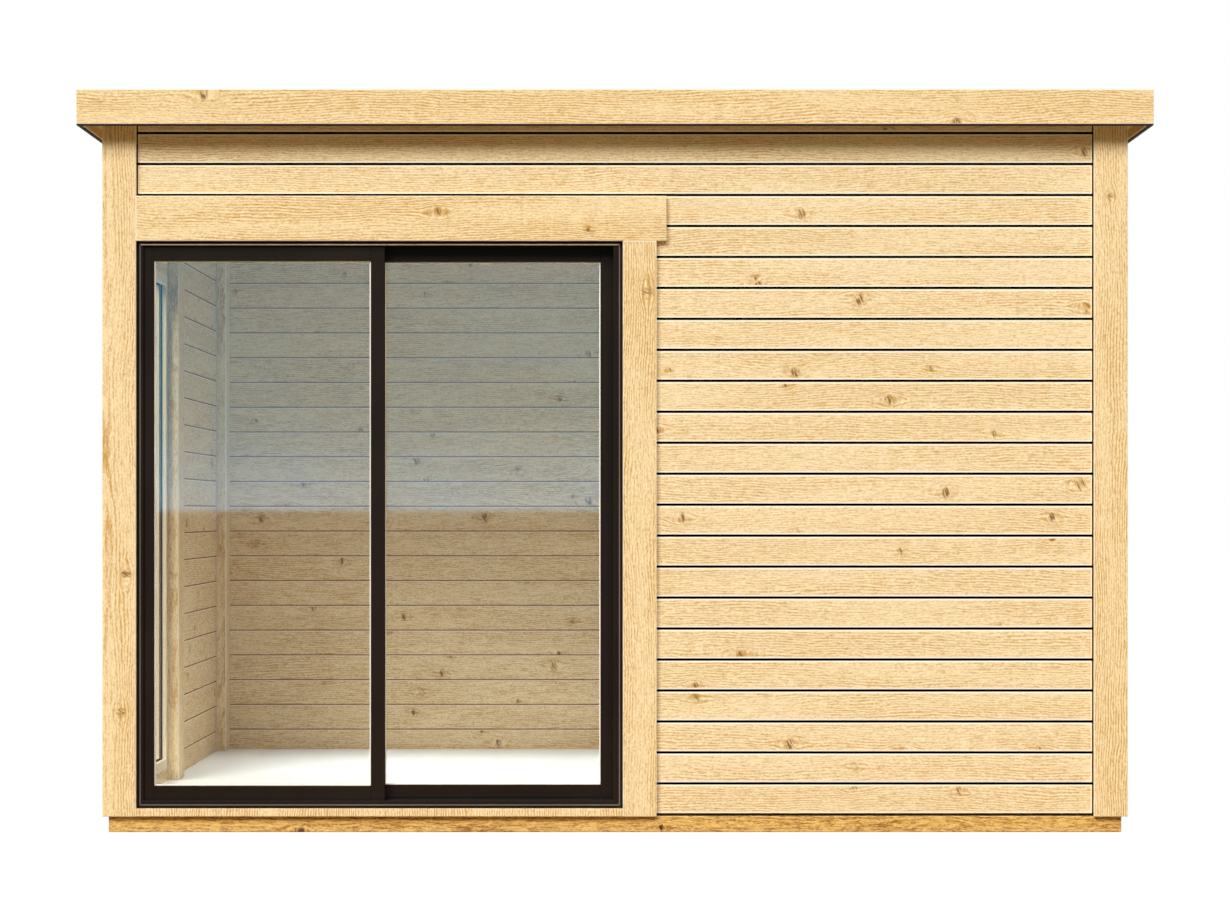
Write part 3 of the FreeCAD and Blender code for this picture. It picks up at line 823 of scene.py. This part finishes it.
class GARDEN_OT_timber_frame(HouseOperator):
    """Stand the posts and lay the roof timbers"""

    bl_idname = "garden.timber_frame"
    bl_label = "Posts and Roof Timbers"

    def execute(self, context):
        sizes = context.scene.house_boards
        for number, node in enumerate(("corner_posts", "door_post", "middle_posts")):
            # The posts' chamfers take the painted highlight wood.
            softened_copy(node, "frame_spruce", sizes.post_chamfer, seed=number * 4.7, segments=1,
                          edge_finish="edge_spruce")
        for number, node in enumerate(("rafters", "rim_boards_long", "rim_boards_short", "eaves_battens")):
            softened_copy(node, "frame_spruce", sizes.rounding, seed=14.1 + number * 4.7)
        return {"FINISHED"}


def flat_boards(node, cover, finish, name):
    """Level boards along X, side by side, that fill a flat node, with a fine joint above and below."""
    low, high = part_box(node)
    mesh = bmesh.new()
    count = max(1, round((high.y - low.y) / cover))
    step = (high.y - low.y) / count
    for n in range(count):
        start = low.y + n * step
        add_block(mesh, (low.x, start + BOARD_GAP / 2, low.z), (high.x, start + step - BOARD_GAP / 2, high.z))
    soften(mesh, BOARD_GAP, 1)
    lay_grain(mesh, 2.3)
    return finish_piece(mesh, name, node_body(node), [finish], [node])


class GARDEN_OT_floor(HouseOperator):
    """Lay the painted floor boards"""

    bl_idname = "garden.floor"
    bl_label = "Floor Boards"

    def execute(self, context):
        sizes = context.scene.house_boards
        flat_boards("floor_deck", sizes.floor_cover, "painted_floor", "floor_boards")
        return {"FINISHED"}


def roofing_laps():
    """The raised laps where one width of roofing sheet runs over the next."""
    sizes = bpy.context.scene.house_boards
    low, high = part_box("roof_membrane")
    mesh = bmesh.new()
    place = low.x + sizes.sheet_width
    while place < high.x - sizes.sheet_lap:
        add_block(mesh, (place - sizes.sheet_lap, low.y + LAP_END_GAP, high.z),
                  (place, high.y - LAP_END_GAP, high.z + sizes.sheet_thickness))
        place += sizes.sheet_width
    soften(mesh, sizes.sheet_thickness / 3, 1)
    lay_grain(mesh)
    finish_piece(mesh, "roofing_laps", node_body("roof_membrane"), ["roofing"])


class GARDEN_OT_roof(HouseOperator):
    """Lay the roof boards and the roofing sheet with its laps"""

    bl_idname = "garden.roof"
    bl_label = "Roof Boards and Sheet"

    def execute(self, context):
        sizes = context.scene.house_boards
        flat_boards("roof_deck", sizes.roof_cover, "frame_spruce", "roof_boards")
        softened_copy("roof_membrane", "roofing", SHEET_ROUNDING, segments=1)
        roofing_laps()
        return {"FINISHED"}


def add_block(mesh, low, high):
    """Adds a straight block between two corners."""
    made = bmesh.ops.create_cube(mesh, size=1.0)["verts"]
    bmesh.ops.scale(mesh, vec=Vector(high) - Vector(low), verts=made)
    bmesh.ops.translate(mesh, vec=(Vector(high) + Vector(low)) / 2, verts=made)


def add_rim(mesh, left, right, bottom, top, width, front, back):
    """Adds four thin strips round an upright rectangle, inside its edges."""
    add_block(mesh, (left, front, bottom), (left + width, back, top))
    add_block(mesh, (right - width, front, bottom), (right, back, top))
    add_block(mesh, (left + width, front, top - width), (right - width, back, top))
    add_block(mesh, (left + width, front, bottom), (right - width, back, bottom + width))


def frame_ridges():
    """The raised ridge that runs round the front of the door frame, just inside the trim boards. Its colour
    is a painted highlight, lighter on the top than on the sides.
    """
    sizes = bpy.context.scene.house_boards
    header_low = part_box("door_header_trim")[0]
    side_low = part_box("door_side_trim")[0]
    sill_low, sill_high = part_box("door_sill_strip")
    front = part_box("door_head_track")[0].y
    inset = sizes.ridge_inset
    mesh = bmesh.new()
    add_rim(mesh, sill_low.x + inset, side_low.x - inset, sill_high.z + inset, header_low.z - inset,
            sizes.ridge_width, front - sizes.ridge_height, front)
    soften(mesh, sizes.ridge_height / 3, 1)
    lay_grain(mesh)
    # Painted highlight: the top of the ridge gets the lighter colour, as light falls on it from above.
    for face in mesh.faces:
        at_top = min(vertex.co.z for vertex in face.verts) > header_low.z - inset - sizes.ridge_width * 1.1
        face.material_index = 1 if at_top else 0
    finish_piece(mesh, "door_frame_ridges", "house", ["frame_side_ridge", "frame_ridge"])


def glazing_beads(sash):
    """The beads that hold the glass on both sides of a sash, near-white all over as a painted highlight round
    the glass.
    """
    sizes = bpy.context.scene.house_boards
    glass_low, glass_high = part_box(f"{sash}_glass")
    opening = visible_opening(sash)
    proud = sizes.bead_height
    faces = (("front", glass_low.y - proud, glass_low.y), ("back", glass_high.y, glass_high.y + proud))
    for side, front, back in faces:
        mesh = bmesh.new()
        add_rim(mesh, *opening, sizes.bead_width, front, back)
        soften(mesh, proud / 4, 1)
        lay_grain(mesh)
        finish_piece(mesh, f"{sash}_beads_{side}", sash, ["glazing_bead"])


def sash_seal(sash):
    """A dark brush seal under the sash's bottom rail. It closes the gap to the sill and touches nothing."""
    sizes = bpy.context.scene.house_boards
    low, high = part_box(f"{sash}_stiles")
    front = low.y + sizes.seal_inset
    mesh = bmesh.new()
    add_block(mesh, (low.x + SEAL_END_GAP, front, low.z - sizes.seal_drop),
              (high.x - SEAL_END_GAP, front + SEAL_THICKNESS, low.z))
    soften(mesh, SEAL_THICKNESS / 5, 1)
    lay_grain(mesh)
    finish_piece(mesh, f"{sash}_seal", sash, ["rubber"])


def visible_opening(sash):
    """Left, right, bottom and top of the glass that shows between a sash's stiles and rails."""
    xs, zs = [], []
    for node, axis, found in ((f"{sash}_stiles", 0, xs), (f"{sash}_rails", 2, zs)):
        for low, high in solid_boxes(node):
            found += [low[axis], high[axis]]
    xs.sort()
    zs.sort()
    return xs[1], xs[2], zs[1], zs[2]


class GARDEN_OT_door(HouseOperator):
    """Fit the door frame and the two sliding sashes with their glass and rollers"""

    bl_idname = "garden.door"
    bl_label = "Sliding Door"

    def execute(self, context):
        for part in ("jamb_left", "jamb_right", "head_track", "sill_track", "jamb_lips", "track_lips"):
            softened_copy(f"door_{part}", "coated_metal", TRACK_ROUNDING, segments=1)
        frame_ridges()
        for sash in ("left_sash", "right_sash"):
            for part in ("stiles", "rails"):
                softened_copy(f"{sash}_{part}", "coated_metal", SASH_ROUNDING)
            softened_copy(f"{sash}_glass", "glass", GLASS_ROUNDING, segments=1)
            softened_copy(f"{sash}_rollers", "rubber", ROLLER_ROUNDING)
            glazing_beads(sash)
            sash_seal(sash)
        return {"FINISHED"}


def window_gaskets():
    """Dark gaskets on both faces of the side window's glass, along the wooden frame."""
    sizes = bpy.context.scene.house_boards
    low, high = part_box("side_window_glass")
    bite = sizes.window_bite
    left, right, bottom, top = low.y + bite, high.y - bite, low.z + bite, high.z - bite
    mesh = bmesh.new()
    thick = sizes.gasket_thickness
    strips = ((left, left + thick, bottom, top),
              (right - thick, right, bottom, top),
              (left + thick, right - thick, bottom, bottom + thick),
              (left + thick, right - thick, top - thick, top))
    for outer, inner in ((low.x - thick / 4, low.x), (high.x, high.x + thick)):
        for start, end, lowest, highest in strips:
            add_block(mesh, (outer, start, lowest), (inner, end, highest))
    soften(mesh, thick / 16, 1)
    lay_grain(mesh)
    finish_piece(mesh, "side_window_gaskets", "house", ["rubber"])


class GARDEN_OT_side_window(HouseOperator):
    """Fit the fixed window in the left wall"""

    bl_idname = "garden.side_window"
    bl_label = "Side Window"

    def execute(self, context):
        for number, part in enumerate(("jambs", "rails")):
            # The window's frame is made all over of the pale wood that also paints the highlights.
            softened_copy(f"side_window_{part}", "edge_spruce", SASH_ROUNDING, seed=3.3 + number)
        softened_copy("side_window_glass", "side_glass", GLASS_ROUNDING, segments=1)
        window_gaskets()
        return {"FINISHED"}


SEEN_RAYS = ("Is Camera Ray", "Is Glossy Ray", "Is Transmission Ray")


def seen_share(graph):
    """1 for what the camera, a mirror or glass sees, and 0 for light that falls on the object."""
    path = graph.node("ShaderNodeLightPath").socket.node
    outputs = [Flow(graph, path.outputs[name]) for name in SEEN_RAYS]
    return graph.math("MAXIMUM", graph.math("MAXIMUM", outputs[0], outputs[1]), outputs[2])


def stage_white(name):
    """A pale floor that keeps a faint shadow and throws little light back."""
    graph = new_material(name)
    place = graph.node("ShaderNodeTexCoord", output=3)
    mottle = graph.noise(place, scale=3.0, detail=2.0)
    pale = graph.mix(mottle, (0.2, 0.145, 0.065), (0.22, 0.16, 0.08))
    glow = graph.mix(seen_share(graph), (0.0, 0.0, 0.0), (0.86, 0.9, 0.96))
    return graph.surface({"Base Color": pale, "Roughness": 1.0, "Specular IOR Level": 0.0,
                          "Emission Color": glow, "Emission Strength": 1.0})


def mirrored_view(name):
    """What the glass mirrors: dim ground, then a sky that changes with height. Seen in mirrors only."""
    graph = new_material(name)
    height = graph.parts(graph.node("ShaderNodeTexCoord", output=3))[2]
    climb = graph.band(height, EYE_HEIGHT, EYE_HEIGHT + SKY_CLIMB)
    sky = graph.mix(climb, colour_of("low_sky"), colour_of("high_sky"))
    horizon = graph.band(height, EYE_HEIGHT - HORIZON_BELOW, EYE_HEIGHT + HORIZON_ABOVE)
    glow = graph.mix(horizon, colour_of("low_ground"), sky)
    return graph.surface({"Base Color": (0, 0, 0, 1), "Roughness": 1.0, "Specular IOR Level": 0.0,
                          "Emission Color": glow, "Emission Strength": MIRROR_GLOW})


def stage_plane(name, corners, finish):
    """A flat face of the stage, with its material."""
    mesh = bmesh.new()
    mesh.faces.new([mesh.verts.new(corner) for corner in corners])
    data = bpy.data.meshes.new(name)
    mesh.to_mesh(data)
    mesh.free()
    data.materials.append(finish)
    plane = bpy.data.objects.new(name, data)
    bpy.context.scene.collection.objects.link(plane)
    return plane


def mirror_card():
    """A card in front of the house that only the glass and the metal mirror."""
    distance, half, top = 3.2, 9.0, 9.0
    corners = [(-half, -distance, 0), (half, -distance, 0), (half, -distance, top), (-half, -distance, top)]
    card = stage_plane("mirrored_view", corners, mirrored_view("mirrored_view"))
    card.visible_camera = card.visible_diffuse = card.visible_shadow = card.visible_transmission = False


def soft_sun(name, direction, strength, spread):
    """Even light that travels along a direction, with soft shadows."""
    light = bpy.data.lights.new(name, "SUN")
    light.energy = strength
    light.angle = math.radians(spread)
    lamp = bpy.data.objects.new(name, light)
    lamp.rotation_euler = Vector(direction).to_track_quat("-Z", "Y").to_euler()
    bpy.context.scene.collection.objects.link(lamp)


def room_light():
    """Soft light that falls from under the ceiling onto the floor of the room."""
    low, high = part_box("floor_deck")
    light = bpy.data.lights.new("room_light", "AREA")
    light.shape = "RECTANGLE"
    light.size = ROOM_LIGHT_SHARES[0] * (high.x - low.x)
    light.size_y = ROOM_LIGHT_SHARES[1] * (high.y - low.y)
    light.energy = ROOM_LIGHT_POWER
    light.color = ROOM_LIGHT_COLOUR
    light.spread = math.radians(ROOM_LIGHT_SPREAD)
    lamp = bpy.data.objects.new("room_light", light)
    lamp.location = ((low.x + high.x) / 2, (low.y + high.y) / 2 + ROOM_LIGHT_SHIFT,
                     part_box("rafters")[0].z - ROOM_LIGHT_DROP)
    lamp.visible_camera = lamp.visible_glossy = False
    bpy.context.scene.collection.objects.link(lamp)


def plain_world(strength, warmth):
    """White where it is seen, and a softer and warmer light on the object."""
    world = bpy.data.worlds.new("plain_light")
    bpy.context.scene.world = world
    graph = Graph(world)
    soft = tuple(level * strength for level in warmth)
    light = graph.mix(seen_share(graph), soft, (1.0, 1.0, 1.0))
    back = graph.node("ShaderNodeBackground", inputs={"Color": light, "Strength": 1.0})
    graph.node("ShaderNodeOutputWorld", inputs={"Surface": back})


def photo_camera():
    """Straight in front of the house at eye height, as in the photo."""
    focal_pixels, horizon_drop, distance = 2790.0, 51.5, 10.0
    camera = bpy.data.cameras.new("photo_view")
    camera.sensor_width = 36.0
    camera.lens = camera.sensor_width * focal_pixels / PHOTO_WIDTH
    camera.shift_y = horizon_drop / PHOTO_WIDTH
    view = bpy.data.objects.new("photo_view", camera)
    view.location = (0.0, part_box("right_wall")[0].y - distance, EYE_HEIGHT)
    view.rotation_euler = (math.radians(90), 0, 0)
    bpy.context.scene.collection.objects.link(view)
    bpy.context.scene.camera = view


class GARDEN_OT_stage(HouseOperator):
    """Lay the pale floor, set the plain soft light and the camera"""

    bl_idname = "garden.stage"
    bl_label = "Stage, Light and Camera"

    def execute(self, context):
        context.scene.view_settings.view_transform = "Standard"
        corners = [(-STAGE_EDGE, -STAGE_EDGE, 0), (STAGE_EDGE, -STAGE_EDGE, 0),
                   (STAGE_EDGE, STAGE_EDGE, 0), (-STAGE_EDGE, STAGE_EDGE, 0)]
        stage_plane("stage_floor", corners, stage_white("stage_white"))
        mirror_card()
        plain_world(SHADE_STRENGTH, SHADE_COLOUR)
        for sun in SUNS:
            soft_sun(*sun)
        room_light()
        photo_camera()
        return {"FINISHED"}


STEPS = (GARDEN_OT_wall_boards, GARDEN_OT_trim_boards, GARDEN_OT_base, GARDEN_OT_timber_frame,
         GARDEN_OT_floor, GARDEN_OT_roof, GARDEN_OT_door, GARDEN_OT_side_window, GARDEN_OT_stage)


class GARDEN_PT_panel(bpy.types.Panel):
    """Lists the steps and the sizes and colours that they use"""

    bl_idname = "GARDEN_PT_panel"
    bl_label = "Garden House"
    bl_space_type = "VIEW_3D"
    bl_region_type = "UI"
    bl_category = "Garden House"

    def draw(self, context):
        column = self.layout.column(align=True)
        for step in STEPS:
            column.operator(step.bl_idname)
        for group in (context.scene.house_boards, context.scene.house_colours):
            box = self.layout.box()
            for name in group.__annotations__:
                box.prop(group, name)


CLASSES = (HouseBoards, HouseColours, *STEPS, GARDEN_PT_panel)


def register():
    for item in CLASSES:
        bpy.utils.register_class(item)
    bpy.types.Scene.house_boards = bpy.props.PointerProperty(type=HouseBoards)
    bpy.types.Scene.house_colours = bpy.props.PointerProperty(type=HouseColours)


def unregister():
    del bpy.types.Scene.house_colours
    del bpy.types.Scene.house_boards
    for item in reversed(CLASSES):
        bpy.utils.unregister_class(item)


def main():
    register()
    for step in STEPS:
        group, name = step.bl_idname.split(".")
        getattr(getattr(bpy.ops, group), name)()


if __name__ == "__main__":
    main()
